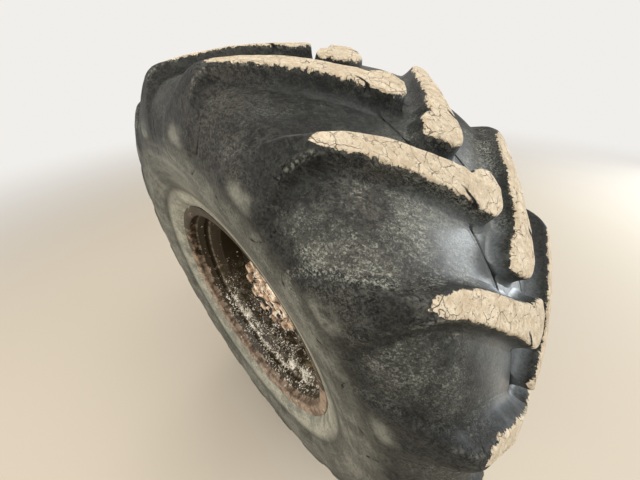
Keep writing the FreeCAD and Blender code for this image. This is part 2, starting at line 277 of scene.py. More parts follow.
def ramp(value, low, high, outLow=0.0, outHigh=1.0, style="SMOOTHSTEP"):
    return made(value.tree, "ShaderNodeMapRange", enumerate((value, low, high, outLow, outHigh)), "Result",
                interpolation_type=style, clamp=True)


def mixColour(mask, first, second, blend="MIX"):
    return made(treeOf((mask, first, second)), "ShaderNodeMix", {"Factor": mask, 6: first, 7: second}, 2,
                data_type="RGBA", blend_type=blend)


def noiseOf(vector, scale, detail=4.0, rough=0.55, warp=0.0):
    return made(vector.tree, "ShaderNodeTexNoise", {"Vector": vector, "Scale": scale, "Detail": detail,
                                                    "Roughness": rough, "Distortion": warp}, "Fac")


def warped(vector, scale, detail, amount):
    # The vector moved by a noise.
    return vectorCalc("MULTIPLY_ADD", noiseOf(vector, scale, detail).beside("Color"), amount, vector)


def stretched(vector, turn, length):
    # The vector drawn out along one direction, so that a noise on it runs in streaks.
    values = {"Vector": vector, "Rotation": turn, "Scale": (1, 1, length)}
    return made(vector.tree, "ShaderNodeMapping", values, vector_type="TEXTURE")


def bump(height, distance):
    return made(height.tree, "ShaderNodeBump", {"Height": height, "Distance": distance, "Strength": 1.0})


def attribute(tree, name):
    return made(tree, "ShaderNodeAttribute", output="Fac", attribute_name=name)


def newTree(name, family, inputs, outputs):
    # Labels with the kind of each socket. A number in place of a kind is a plain value to start with.
    tree = bpy.data.node_groups.new(name, family)
    for label, kind in inputs.items():
        isNumber = isinstance(kind, float)
        socket = tree.interface.new_socket(label, in_out="INPUT",
                                           socket_type="NodeSocket" + ("Float" if isNumber else kind))
        if isNumber:
            socket.default_value = kind
    for label, kind in outputs.items():
        tree.interface.new_socket(label, in_out="OUTPUT", socket_type="NodeSocket" + kind)
    given = {socket.name: Field(socket) for socket in tree.nodes.new("NodeGroupInput").outputs if socket.name}
    return tree, given, tree.nodes.new("NodeGroupOutput").inputs


def use(group, **values):
    # A shader group placed in the values' tree. The result is its outputs by name.
    node = made(treeOf(values.values()), "ShaderNodeGroup", node_tree=group).socket.node
    for label, value in values.items():
        setIn(node.inputs[label], value)
    return {socket.name: Field(socket) for socket in node.outputs}


def newMaterial(name):
    material = bpy.data.materials.new(name)
    material.use_nodes = True
    tree = material.node_tree
    tree.nodes.clear()
    shader = tree.nodes.new("ShaderNodeBsdfPrincipled")
    output = tree.nodes.new("ShaderNodeOutputMaterial")
    tree.links.new(shader.outputs[0], output.inputs["Surface"])
    return material, shader, made(tree, "ShaderNodeTexCoord", output="Object")


ringWear = {"grows": 25}      # the wear is full this share of a metre past where it starts


def ringTree():
    # Copies of a piece round Y, then a noise that wears it from a distance from the axle outwards.
    tree, given, result = newTree("ringAround", "GeometryNodeTree", {
        "Geometry": "Geometry", "Count": "Int", "Step": "Float", "Wear": "Float", "Wear Scale": "Float",
        "Wear From": "Float", "Material": "Material"}, {"Geometry": "Geometry"})
    single = made(tree, "GeometryNodeGeometryToInstance", {"Geometry": given["Geometry"]})
    copies = made(tree, "GeometryNodeDuplicateElements", {"Geometry": single, "Amount": given["Count"]},
                  domain="INSTANCE")
    turn = combined(Y=copies.beside("Duplicate Index") * given["Step"])
    ring = made(tree, "GeometryNodeRotateInstances", {"Instances": copies, "Rotation": turn,
                                                      "Local Space": False})
    real = made(tree, "GeometryNodeRealizeInstances", {"Geometry": ring})
    noise = made(tree, "ShaderNodeTexNoise", {"Scale": given["Wear Scale"], "Detail": 4}, "Color")
    flat = vectorCalc("MULTIPLY", made(tree, "GeometryNodeInputPosition"), (1, 0, 1))
    beyond = vectorCalc("LENGTH", flat, output="Value") - given["Wear From"]
    strength = calc("MULTIPLY", beyond, ringWear["grows"], use_clamp=True) * given["Wear"]
    offset = vectorCalc("SCALE", vectorCalc("SUBTRACT", noise, (0.5, 0.5, 0.5)), Scale=strength)
    moved = made(tree, "GeometryNodeSetPosition", {"Geometry": real, "Offset": offset})
    painted = made(tree, "GeometryNodeSetMaterial", {"Geometry": moved, "Material": given["Material"]})
    setIn(result["Geometry"], painted)
    return tree


ringAround = ringTree()


def repeated(obj, count, material, wear, wearScale, wearFrom=-1.0):
    # The object repeated round the wheel's axis as one plain mesh, worn beyond a distance from the axle.
    return passedThrough(obj, ringAround, {
        "Count": int(count), "Step": 2 * math.pi / count, "Wear": float(wear), "Wear Scale": float(wearScale),
        "Wear From": float(wearFrom), "Material": material})


def wheelPlaceGroup():
    # Distance from the axle, distance from the centre plane, a vector that stays the same along a radius,
    # and one that hardly changes round the wheel.
    tree, given, result = newTree("wheelPlace", "ShaderNodeTree", {"Vector": "Vector"}, {
        "Radius": "Float", "Across": "Float", "Spoke": "Vector", "Round": "Vector"})
    x, y, z = separated(given["Vector"])
    flat = combined(X=x, Z=z)
    radius = vectorCalc("LENGTH", flat, output="Value")
    unit = vectorCalc("NORMALIZE", flat)
    setIn(result["Radius"], radius)
    setIn(result["Across"], abs(y - wheelPlane))
    setIn(result["Spoke"], vectorCalc("MULTIPLY_ADD", unit, (0.5, 0.5, 0.5), combined(Y=y)))
    setIn(result["Round"], vectorCalc("MULTIPLY_ADD", given["Vector"], (0.16, 0.16, 0.16),
                                      combined(X=radius, Y=y)))
    return tree


def gritGroup():
    # Fine pale grains and short slanting strands in clouds, as scuffed rubber shows.
    tree, given, result = newTree("grit", "ShaderNodeTree", {
        "Vector": "Vector", "Scale": 330.0, "Cloud": 10.0, "Cover": 0.5}, {"Mask": "Float", "Cloud": "Float"})
    place, scale = given["Vector"], given["Scale"]
    grains = noiseOf(place, scale, 4.0, 0.75, 1.0)
    strands = noiseOf(stretched(place, (0.9, -0.55, 0.0), 2.4), scale * 0.85, 3.0, 0.72, 0.8)
    limit = 0.72 - given["Cover"] * 0.4
    cloud = ramp(noiseOf(place, given["Cloud"], 5.0, 0.62), limit - 0.13, limit + 0.13)
    bright = ramp(grains * 0.5 + strands * 0.5 + cloud * 0.05, 0.51, 0.65)
    setIn(result["Mask"], bright * ramp(cloud, 0.0, 1.0, 0.15, 1.0))
    setIn(result["Cloud"], cloud)
    return tree


def crackNetGroup():
    # A net of thin cracks between cells.
    tree, given, result = newTree("crackNet", "ShaderNodeTree", {
        "Vector": "Vector", "Scale": 60.0, "Width": 0.03, "Warp": 0.01}, {"Mask": "Float"})
    amount = combined(**{axis: given["Warp"] for axis in "XYZ"})
    moved = warped(given["Vector"], given["Scale"] * 0.8, 3.0, amount)
    cells = made(tree, "ShaderNodeTexVoronoi", {"Vector": moved, "Scale": given["Scale"]}, "Distance",
                 feature="DISTANCE_TO_EDGE")
    setIn(result["Mask"], ramp(cells, 0.0, given["Width"], 1.0, 0.0))
    return tree


def speckGroup():
    # Scattered flecks: some of the cells hold one, of many sizes.
    tree, given, result = newTree("speck", "ShaderNodeTree", {
        "Vector": "Vector", "Scale": 200.0, "Size": 0.35, "Share": 0.3}, {"Mask": "Float"})
    moved = warped(given["Vector"], given["Scale"], 2.0, (0.004, 0.004, 0.004))
    cells = made(tree, "ShaderNodeTexVoronoi", {"Vector": moved, "Scale": given["Scale"]}, "Distance")
    pick = made(tree, "ShaderNodeSeparateColor", {"Color": cells.beside("Color")})
    chosen = calc("LESS_THAN", pick, given["Share"])
    inside = calc("LESS_THAN", cells, given["Size"] * pick.beside(1))
    setIn(result["Mask"], chosen * inside)
    return tree


wheelPlace = wheelPlaceGroup()
grit = gritGroup()
crackNet = crackNetGroup()
speck = speckGroup()
print("node groups ready")

# Zones are pairs of places in metres between which a finish comes in. Radius is from the axle, across from
# the centre plane, height from the axle's level.
tyreLook = {
    "black": (0.0120, 0.0122, 0.0102, 1),
    "grey": (0.040, 0.041, 0.035, 1),
    "brownish": (1.10, 0.98, 0.95, 1),
    "grain": (0.41, 0.41, 0.345, 1),
    # the sheen colour is a painted reflection: the pale bluish sheen of the smooth groove floor
    "paintedSheen": (0.138, 0.156, 0.164, 1),
    "bead": (0.345, 0.34, 0.275, 1),
    "beadPale": (0.56, 0.525, 0.41, 1),
    "clay": (0.54, 0.43, 0.295, 1),
    "clayPale": (0.73, 0.62, 0.46, 1),
    "crack": (0.17, 0.12, 0.075, 1),
    # near-black for the cracks, and for the painted shade in the moulded line and in the nose's split
    "crackAndShadeBlack": (0.006, 0.006, 0.006, 1),
    "treadRadius": (0.455, 0.485),
    "crownAcross": (0.155, 0.050),      # the smooth middle of the groove floor, where the sheen is painted
    "shineHeight": (0.47, 0.37),        # the painted sheen and the gloss fade out towards the top of the tyre, which is in shade
    "scuffAcross": (0.05, 0.13),
    "scuffTop": (0.48, 0.42),
    "scuffBottom": (0.24, 0.34),
    "beadRadius": (0.352, 0.330),
    "palestRadius": (0.350, 0.315),
    "wallInner": (0.328, 0.362),
    "wallOuter": (0.455, 0.40),
    "spotInner": (0.432, 0.452),
    "spotOuter": (0.478, 0.456),
    "crestRadius": (0.490, 0.530),
    "gougeAcross": (0.15, 0.20),
    "gougeRadius": (0.475, 0.49),
    "lineAcross": 0.0375,               # thin moulded line along the groove floor
    "lineWidth": (0.0017, 0.0030),
    "noseSplit": 0.0480,                # across, where the lug's nose has cracked away on its leading side
    "splitWidth": (0.0014, 0.0036),
    "specular": 0.22,
    "coatRoughness": 0.42,
    "relief": 0.0026,                   # metres of the finest bumps
}


def tyrePlaces(place):
    # Where a point lies on the wheel and on its lug, with the noises and zones that the finishes share.
    # The attribute rise is 0 at a lug's foot and 1 on its top, span 0 at its leading edge and 1 at the
    # trailing one, along the distance across, and clay 0.5 at the edge of the lug's top.
    wheel = use(wheelPlace, Vector=place)
    at = SimpleNamespace(place=place, radius=wheel["Radius"], across=wheel["Across"],
                         height=separated(place)[2])
    at.clay, at.along, at.rise, at.span = [attribute(place.tree, name) for name in
                                           ("clay", "along", "rise", "span")]
    at.broad = noiseOf(place, 6.5, 3.0, 0.55)
    at.middle = noiseOf(place, 30.0, 4.0, 0.62)
    at.fine = noiseOf(place, 230.0, 2.0, 0.6)
    at.teeth = noiseOf(wheel["Spoke"], 95.0, 3.0, 0.65)
    at.rings = noiseOf(wheel["Round"], 120.0, 3.0, 0.6)
    at.both = at.broad * 0.5 + at.middle * 0.5
    marks = noiseOf(stretched(place, (0.9, -0.55, 0.0), 2.2), 130.0, 4.0, 0.75, 0.8)
    at.worn = noiseOf(place, 310.0, 4.0, 0.8, 0.6) * 0.5 + marks * 0.5
    at.tread = ramp(at.radius, *tyreLook["treadRadius"])
    at.onFloor = ramp(at.rise, 0.10, 0.0)
    return at


def darkRubber(at, look):
    # Black to grey, finely worn, with a brownish cast in broad patches.
    colour = mixColour(ramp(at.both, 0.42, 0.66), look["black"], look["grey"])
    colour = mixColour(1.0, colour, ramp(at.worn, 0.43, 0.59, 0.16, 1.62), "MULTIPLY")
    return mixColour(ramp(at.broad, 0.48, 0.64), colour, look["brownish"], "MULTIPLY")


def grooveFloor(at, look, colour):
    # The groove floor is smooth near the centre line, with a painted sheen there, and scuffed towards the
    # shoulder.
    crown = (at.tread * ramp(at.across, *look["crownAcross"])
             * ramp(at.height, *look["shineHeight"], 0.12, 1.0))
    at.smooth = crown * ramp(at.rise, 0.30, 0.0)
    # Painted sheen: a bluish reflection painted into the colour of the smooth floor and the lower flanks,
    # less at the top of the tyre, which is in shade.
    sheenMask = crown * ramp(at.rise, 0.75, 0.10) * 0.75 * ramp(at.worn, 0.42, 0.60, 0.72, 1.0)
    colour = mixColour(sheenMask, colour, look["paintedSheen"])
    scuffed = use(grit, Vector=at.place, Scale=390.0, Cloud=10.0, Cover=0.56)
    at.scuffs = scuffed["Mask"]
    behind = ramp(at.rise, 0.0, 0.06) * ramp(at.rise, 0.8, 0.2) * ramp(at.span, 0.6, 0.9)
    fringe = ramp(at.rise, 0.30, 0.80) * ramp(at.span, 0.20, 0.02) * at.tread
    zone = (at.onFloor * at.tread * ramp(at.across, *look["scuffAcross"], 0.25, 1.0)
            + behind * 0.8 + fringe * 0.40 + 0.26)
    # Fewer pale grains towards the top and towards the bottom of the tyre.
    grainsByHeight = ramp(at.height, *look["scuffTop"], 0.25, 1.0) * ramp(at.height, *look["scuffBottom"], 0.28, 1.0)
    grains = at.scuffs * calc("MINIMUM", zone, 1.0) * grainsByHeight
    haze = scuffed["Cloud"] * at.onFloor * at.tread * grainsByHeight * ramp(at.fine, 0.3, 0.6, 0.05, 0.17)
    colour = mixColour(haze, colour, look["grain"])
    colour = mixColour(grains * 0.78, colour, look["grain"])
    # The moulded line's narrow groove is painted black: painted shade inside it.
    fromLine = abs(at.across - look["lineAcross"])
    at.line = ramp(fromLine, *look["lineWidth"], 1.0, 0.0) * ramp(at.rise, 0.3, 0.0) * at.tread
    return mixColour(at.line, colour, look["crackAndShadeBlack"])


def dustOnRubber(at, look, colour):
    # Dust lies on the bead and the sidewall. The pale soft spots on the lugs' ends and the pale lines along
    # their crests are partly dust and partly painted highlight.
    low = ramp(at.radius, *look["beadRadius"]) * ramp(at.middle, 0.25, 0.6, 0.60, 0.95)
    streaks = ramp(at.rings * 0.13 + at.both * 0.72 + at.fine * 0.15, 0.38, 0.62, 0.12, 0.62)
    upper = ramp(at.radius, *look["wallInner"]) * ramp(at.radius, *look["wallOuter"]) * streaks
    # Pale spots on the rounded ends of the lugs: dust, and a painted highlight where the ends catch the
    # light.
    spotDustAndHighlight = (ramp(at.radius, *look["spotInner"]) * ramp(at.radius, *look["spotOuter"])
            * ramp(at.span, 0.05, 0.42) * ramp(at.span, 0.90, 0.55)
            * ramp(at.rise, 0.5, 1.0) * ramp(at.middle, 0.34, 0.60, 0.10, 0.62))
    # Pale lines along the lugs' crest edges: scuffs, and a painted highlight where the edges catch the light.
    edges = most(ramp(at.span, 0.20, 0.02), ramp(at.span, 0.80, 0.98) * 0.5)
    crestDustAndHighlight = (ramp(at.rise, 0.70, 0.93) * edges * ramp(at.middle, 0.42, 0.60, 0.1, 1.0)
             * ramp(at.radius, *look["crestRadius"]) * ramp(at.fine, 0.44, 0.62, 0.0, 0.50))
    uneven = ramp(at.fine * 0.40 + at.rings * 0.25 + at.worn * 0.35, 0.38, 0.60, 0.62, 1.0)
    colour = mixColour(most(low, upper, spotDustAndHighlight, crestDustAndHighlight) * uneven, colour, look["bead"])
    patches = ramp(at.middle * 0.6 + at.fine * 0.4, 0.47, 0.60, 0.0, 0.42)
    return mixColour(ramp(at.radius, *look["palestRadius"]) * patches, colour, look["beadPale"])


def weatherCracks(at, look, colour):
    # Short cracks on the lugs' shoulders.
    net = use(crackNet, Vector=at.place, Scale=44.0, Width=0.085, Warp=0.022)["Mask"]
    lugSide = ramp(at.along, *look["gougeAcross"]) * ramp(at.rise, 0.4, 0.9)
    short = ramp(noiseOf(at.place, 75.0, 3.0, 0.6), 0.54, 0.61)
    at.gouges = net * lugSide * short * ramp(at.middle, 0.46, 0.54) * ramp(at.radius, *look["gougeRadius"])
    return mixColour(at.gouges, colour, look["crackAndShadeBlack"])


def clayOnLugs(at, look, colour):
    # Clay on the lug tops, ragged at its edges, cracked and pitted, and painted shade for the split in each
    # lug's nose.
    ragged = noiseOf(at.place, 150.0, 4.0, 0.72)
    wander = (ragged - 0.5) + (at.middle - 0.5) * 0.6 + (at.teeth - 0.5) * 1.1
    at.covered = ramp(at.clay + wander, 0.30, 0.38)
    net = use(crackNet, Vector=at.place, Scale=44.0, Width=0.022, Warp=0.022)["Mask"]
    fineNet = use(crackNet, Vector=at.place, Scale=130.0, Width=0.070, Warp=0.010)["Mask"]
    cracks = most(net * ramp(at.middle, 0.41, 0.52, 0.0, 0.9), fineNet * ramp(ragged, 0.50, 0.62) * 0.6)
    pits = ramp(noiseOf(at.place, 420.0, 2.0, 0.6), 0.64, 0.70)
    clods = noiseOf(at.place, 85.0, 3.0, 0.6)
    shade = at.middle * 0.3 + ragged * 0.35 + clods * 0.35
    clay = mixColour(ramp(shade, 0.40, 0.58), look["clay"], look["clayPale"])
    clay = mixColour(most(cracks, pits * 0.5), clay, look["crack"])
    colour = mixColour(at.covered, colour, clay)
    # The split in the nose is painted black as the shade inside a chip, with a dent in the bump.
    fromSplit = abs(at.along + (at.middle - 0.5) * 0.02 - look["noseSplit"])
    at.split = (ramp(fromSplit, *look["splitWidth"], 1.0, 0.0) * ramp(at.span, 0.38, 0.24)
                * ramp(at.rise, 0.5, 0.85))
    at.crust = 0.5 + ragged * 0.7 + clods * 1.1 + cracks * -0.8
    return mixColour(at.split, colour, look["crackAndShadeBlack"])


def rubberMaterial():
    look = tyreLook
    material, shader, place = newMaterial("wornRubber")
    at = tyrePlaces(place)
    colour = darkRubber(at, look)
    for finish in (grooveFloor, dustOnRubber, weatherCracks, clayOnLugs):
        colour = finish(at, look, colour)
    rough = ramp(at.middle, 0.3, 0.7, 0.50, 0.72) - at.smooth * 0.16
    bare = 1.0 - at.covered
    glossy = at.smooth * bare * (1.0 - at.line) * ramp(at.fine, 0.3, 0.6, 0.6, 1.0)
    flanks = at.teeth * at.tread * (1.0 - at.onFloor) * 0.14
    grain = (at.middle * 0.50 + at.fine * 0.14 + flanks + at.worn * (1.0 - at.smooth * 0.7) * 0.30
             + at.scuffs * 0.12 + at.gouges * -0.8)
    height = grain + at.covered * at.crust + at.split * -2.0
    values = {"Base Color": colour, "Roughness": made(place.tree, "ShaderNodeMix",
                                                      {0: at.covered, 2: rough, 3: 0.95}),
              "Specular IOR Level": look["specular"], "Coat Roughness": look["coatRoughness"],
              "Coat Weight": glossy, "Normal": bump(height, look["relief"])}
    for label, value in values.items():
        setIn(shader.inputs[label], value)
    return material


wornRubber = rubberMaterial()

# Finishes of the metal and of the mud, with what differs from plainMetal. crust is how much is rusty, dust
# how pale it is and flecks its share of mud spots. lowMud adds mud and lowFilm a dusty film on the lower
# side of the wheel, lipRust adds rust on the rim's lips, holes paints dark hollows between clods as shade,
# and steps are the distances across at which pale lines lie along an edge, partly dust and partly painted
# highlight.
plainMetal = {"crust": 0.5, "dust": 0.3, "flecks": 0.2, "rough": 0.8, "relief": 0.0016, "lowMud": 0.0,
              "lowFilm": 0.4, "lipRust": 0.0, "holes": 0.0, "steps": (), "specular": 0.5}
metalLooks = {
    "rimRust": {"dark": (0.026, 0.017, 0.006, 1), "rust": (0.33, 0.235, 0.165, 1),
                "pale": (0.46, 0.39, 0.29, 1), "crust": 0.16, "dust": 0.14, "flecks": 0.02, "rough": 0.62,
                "lowMud": 0.20, "lowFilm": 0.32, "lipRust": 0.30, "steps": (0.1540, 0.1855),
                "specular": 0.25},
    "discDirt": {"dark": (0.010, 0.009, 0.006, 1), "rust": (0.05, 0.036, 0.024, 1),
                 "pale": (0.30, 0.26, 0.20, 1), "crust": 0.30, "dust": 0.2, "flecks": 0.04, "lowMud": 0.30,
                 "specular": 0.25},
    "hubRust": {"dark": (0.26, 0.13, 0.06, 1), "rust": (0.82, 0.56, 0.36, 1), "pale": (0.98, 0.92, 0.76, 1),
                "crust": 0.8, "dust": 1.1, "flecks": 0.16, "relief": 0.0035, "holes": 1.0},
    "castRust": {"dark": (0.10, 0.07, 0.045, 1), "rust": (0.34, 0.25, 0.17, 1),
                 "pale": (0.56, 0.48, 0.37, 1), "crust": 0.55, "dust": 0.5, "flecks": 0.06, "relief": 0.002},
    "axleCast": {"dark": (0.035, 0.032, 0.028, 1), "rust": (0.13, 0.085, 0.055, 1),
                 "pale": (0.34, 0.29, 0.22, 1), "crust": 0.35, "dust": 0.35, "flecks": 0.05},
    "boltSteel": {"dark": (0.22, 0.125, 0.07, 1), "rust": (0.68, 0.49, 0.33, 1),
                  "pale": (0.90, 0.81, 0.63, 1), "crust": 0.7, "dust": 0.6, "flecks": 0.08, "holes": 0.45},
    "driedMud": {"dark": (0.60, 0.53, 0.42, 1), "rust": (0.88, 0.82, 0.70, 1), "pale": (0.94, 0.90, 0.82, 1),
                 "crust": 0.8, "dust": 0.8, "flecks": 0.0, "rough": 0.95, "relief": 0.0006},
    "dullBrass": {"dark": (0.12, 0.09, 0.045, 1), "rust": (0.30, 0.22, 0.11, 1),
                  "pale": (0.46, 0.40, 0.30, 1), "crust": 0.6, "dust": 0.3, "flecks": 0.04, "rough": 0.55,
                  "relief": 0.0004},
}
metalZones = {
    "lipAcross": (0.176, 0.196),
    "lipHeight": (0.26, -0.14),         # less rust on the lip at the top of the wheel
    "lowHeight": (0.02, -0.17),
    "wellAcross": (0.165, 0.145),
    "stepWidth": (0.0006, 0.0034),
    "mudDark": (0.40, 0.34, 0.26, 1),
    "mudPale": (0.82, 0.77, 0.66, 1),
    # the dark of the painted shade in hollows
    "hole": (0.012, 0.008, 0.005, 1),
    "shadedRust": 0.28,                 # share of the rust's colour where it is darkest
}


def metalMaterial(name, look):
    # Pitted steel: dark paint or scale, rust patches, pale dust, flecks of dried mud and painted shade in
    # recesses.
    zones = metalZones
    material, shader, place = newMaterial(name)
    wheel = use(wheelPlace, Vector=place)
    height = separated(place)[2]
    broad = noiseOf(place, 9.0, 3.0, 0.62)
    middle = noiseOf(place, 46.0, 5.0, 0.68)
    fine = noiseOf(place, 300.0, 3.0, 0.6)
    rings = noiseOf(wheel["Round"], 260.0, 3.0, 0.6)
    hollow = attribute(place.tree, "hollow")
    mixed = broad * 0.45 + middle * 0.55
    bare, share, pale, dust = 1.0, look["flecks"], look["pale"], look["dust"]
    if look["lipRust"]:
        lip = ramp(wheel["Across"] + (middle - 0.5) * 0.016, *zones["lipAcross"], 0.0, look["lipRust"])
        lip = lip * ramp(height + (broad - 0.5) * 0.20, *zones["lipHeight"], 0.10, 1.0)
        mixed = mixed + lip
        bare = ramp(lip, 0.0, look["lipRust"], 0.25, 1.0)
    rusty = ramp(mixed, 0.62 - look["crust"] * 0.3, 0.74 - look["crust"] * 0.2)
    shaded = [part * zones["shadedRust"] for part in look["rust"][:3]] + [1]
    rust = mixColour(ramp(middle, 0.36, 0.60), shaded, look["rust"])
    colour = mixColour(rusty, look["dark"], rust)
    powder = ramp(middle * 0.5 + (fine * 0.25 + rings * 0.25), 0.62 - dust * 0.15, 0.72 - dust * 0.1)
    colour = mixColour(powder * (0.15 + dust), colour, pale)
    if look["lowMud"]:
        lowered = ramp(height + (broad - 0.5) * 0.25, *zones["lowHeight"])
        share = (share + lowered * look["lowMud"]) * ramp(middle, 0.44, 0.58)
        film = (lowered * ramp(wheel["Across"], *zones["wellAcross"], 0.35, 1.0)
                * ramp(middle * 0.6 + fine * 0.4, 0.46, 0.60, 0.0, look["lowFilm"]))
        colour = mixColour(film, colour, pale)
    # Pale lines along the rim's steps: partly dust along the edges, partly a painted highlight where the
    # steps catch the light.
    for step in look["steps"]:
        edge = ramp(abs(wheel["Across"] - step), *zones["stepWidth"], 1.0, 0.0)
        colour = mixColour(edge * ramp(middle, 0.42, 0.60, 0.06, 0.45), colour, pale)
    spots = most(use(speck, Vector=place, Scale=130.0, Size=0.55, Share=share)["Mask"],
                 use(speck, Vector=place, Scale=360.0, Size=0.6, Share=share)["Mask"])
    colour = mixColour(spots, colour, mixColour(ramp(fine, 0.35, 0.65), zones["mudDark"], zones["mudPale"]))
    # Dark holes between clods, painted as shade.
    if look["holes"]:
        hollow = most(hollow, ramp(noiseOf(place, 50.0, 2.0, 0.5), 0.57, 0.62) * look["holes"])
    # Recesses and hollows painted dark as their shade.
    colour = mixColour(hollow, colour, zones["hole"])
    rough = look["rough"] - (1.0 - rusty) * 0.12
    relief = (middle * 0.6 + fine * 0.3) * most(bare, rusty) + spots * 0.6 + hollow * -1.0
    values = {"Base Color": colour, "Roughness": rough + ramp(middle, 0.3, 0.7, -0.08, 0.08),
              "Normal": bump(relief, look["relief"]), "Specular IOR Level": look["specular"]}
    for label, value in values.items():
        setIn(shader.inputs[label], value)
    return material


metal = {name: metalMaterial(name, {**plainMetal, **look}) for name, look in metalLooks.items()}
print("materials ready")

tyreShape = {
    "segments": 204,
    "rowSpacing": 0.0075,
    "lugRowSpacing": 0.0052,
    "curveSpacing": 0.0008,   # points of the carcass against which the lugs' feet are set
    "firstTip": 83.5,         # degrees from +X towards +Z
    "wear": 0.0032,
    "wearScale": 34.0,
    "wearFrom": 0.42,         # metres from the axle
    "lineDepth": 0.0030,
    "lineReach": 0.0051,      # rows of the carcass this close to the moulded line give way to it
    "crownRadius": 0.50,      # rows further out than this run across, the others down the sidewall
    "floorRows": 40,          # rows from the centre line on between which the line's floor is read
    "topDrop": 0.0010,        # lug tops below the CAD's, so that their worn edges stay inside it
    "topColumns": 6,
    "widestEase": 0.32,       # the rounded edge takes at most this share of the lug's width
    "clayRun": 0.014,         # metres from the lug's edge to where its clay is sure
    "clayTurn": 0.65,         # share of the way round that counts as distance from the edge
}

# Right half of the tyre's outside under the lugs, columns: across, radius.
carcassRows = [
    (0.0000, 0.5297), (0.0900, 0.5275), (0.1500, 0.5228), (0.1780, 0.5180), (0.1960, 0.5085),
    (0.2140, 0.4900), (0.2265, 0.4640), (0.2335, 0.4380), (0.2355, 0.4120), (0.2345, 0.3880),
    (0.2300, 0.3640), (0.2245, 0.3460), (0.2215, 0.3370), (0.2195, 0.3280), (0.2160, 0.3160),
    (0.2105, 0.3060), (0.2036, 0.2998),
]

# Its inside, from the bead to the crown.
carcassInside = [(0.2030, 0.2865), (0.1640, 0.2760), (0.1750, 0.3100), (0.2100, 0.3700), (0.2150, 0.4250),
                 (0.1900, 0.4750), (0.1300, 0.4960), (0.0600, 0.5020)]

# Section of the moulded line, columns: step across from its middle, share of its depth.
lineRows = [(-0.0046, 0), (-0.0028, 0.35), (-0.0015, -1.0), (0.0015, -1.0), (0.0028, 0.35), (0.0046, 0)]


def carcassOutline():
    shape = tyreShape
    middle = tyreLook["lineAcross"]
    half = [tuple(row) for row in smoothRows(carcassRows, shape["rowSpacing"])]
    half = [row for row in half if abs(row[0] - middle) > shape["lineReach"] or row[1] < shape["crownRadius"]]
    floor = np.array(sorted(half)[:shape["floorRows"]])
    for step, lift in lineRows:
        level = float(np.interp(middle + step, floor[:, 0], floor[:, 1]))
        half.append((middle + step, level + lift * shape["lineDepth"]))
    crown = sorted(row for row in half if row[1] > shape["crownRadius"])
    side = sorted((row for row in half if row[1] <= shape["crownRadius"]), key=lambda row: -row[1])
    half = crown + side + carcassInside
    return half + [(-across, radius) for across, radius in reversed(half) if across > 0]


carcassCurve = smoothRows(carcassRows, tyreShape["curveSpacing"])

# One lug, columns: across, radius, trailing and leading edge in degrees from its tip, lift of its top
# from the tyre, clay on it, run of its rounded edge and of its foot in degrees.
lugRows = [
    (-0.0400, 0.5570, 3.75, 3.65, -0.05, 0.0, 0.30, 1.5),
    (-0.0370, 0.5572, 4.15, 3.25, 0.06, 0.0, 0.35, 1.5),
    (-0.0340, 0.5573, 4.50, 2.90, 0.45, 0.2, 0.40, 1.5),
    (-0.0305, 0.5574, 4.85, 2.55, 0.84, 0.8, 0.45, 1.5),
    (-0.0265, 0.5575, 5.15, 2.15, 0.98, 1.0, 0.45, 1.5),
    (-0.0200, 0.5576, 5.60, 1.50, 1.0, 1.0, 0.45, 1.6),
    (-0.0120, 0.5577, 6.10, 0.70, 1.0, 1.0, 0.45, 1.7),
    (-0.0030, 0.5577, 6.25, 0.15, 1.0, 1.0, 0.45, 1.8),
    (0.0060, 0.5577, 6.35, 0.00, 1.0, 1.0, 0.45, 1.9),
    (0.0165, 0.5576, 6.50, 0.05, 1.0, 1.0, 0.45, 2.0),
    (0.0205, 0.5575, 7.45, 0.25, 1.0, 1.0, 0.45, 2.1),
    (0.0270, 0.5574, 7.95, 0.60, 1.0, 1.0, 0.45, 2.2),
    (0.0400, 0.5571, 9.10, 2.00, 1.0, 1.0, 0.45, 2.5),
    (0.0700, 0.5557, 11.90, 6.00, 1.0, 1.0, 0.45, 2.9),
    (0.1000, 0.5536, 14.80, 9.40, 1.0, 1.0, 0.45, 3.0),
    (0.1300, 0.5509, 17.05, 12.70, 1.0, 1.0, 0.50, 3.0),
    (0.1600, 0.5474, 18.70, 15.50, 1.0, 0.95, 0.55, 3.0),
    (0.1770, 0.5448, 19.35, 16.60, 1.0, 0.80, 0.65, 3.0),
    (0.1880, 0.5418, 19.95, 17.05, 1.0, 0.30, 0.85, 3.0),
    (0.1965, 0.5360, 20.75, 17.30, 1.0, 0.0, 1.10, 3.0),
    (0.2045, 0.5260, 21.70, 17.50, 1.0, 0.0, 1.40, 3.0),
    (0.2115, 0.5130, 22.80, 17.60, 1.0, 0.0, 1.70, 3.0),
    (0.2190, 0.4970, 24.30, 17.50, 1.0, 0.0, 2.00, 2.9),
    (0.2255, 0.4810, 25.80, 17.40, 1.0, 0.0, 2.30, 2.8),
    (0.2310, 0.4650, 26.80, 17.10, 1.0, 0.0, 2.60, 2.7),
    (0.2345, 0.4500, 27.60, 17.00, 1.0, 0.0, 2.80, 2.6),
    (0.2357, 0.4370, 27.80, 17.40, 0.75, 0.0, 2.80, 2.5),
    (0.2353, 0.4250, 27.20, 18.20, 0.30, 0.0, 2.60, 2.4),
    (0.2345, 0.4130, 26.20, 19.40, -0.3, 0.0, 2.40, 2.2),
]

# Half of a lug's section from its foot up, columns: place on the foot's run (1 to 0, then below zero
# along the edge's run), share of the height.
sectionRows = [
    (1.00, -0.03), (0.80, 0.012), (0.62, 0.055), (0.46, 0.135), (0.32, 0.27), (0.20, 0.47), (0.10, 0.70),
    (0.02, 0.87), (-0.25, 0.945), (-0.60, 0.985), (-1.00, 1.00),
]


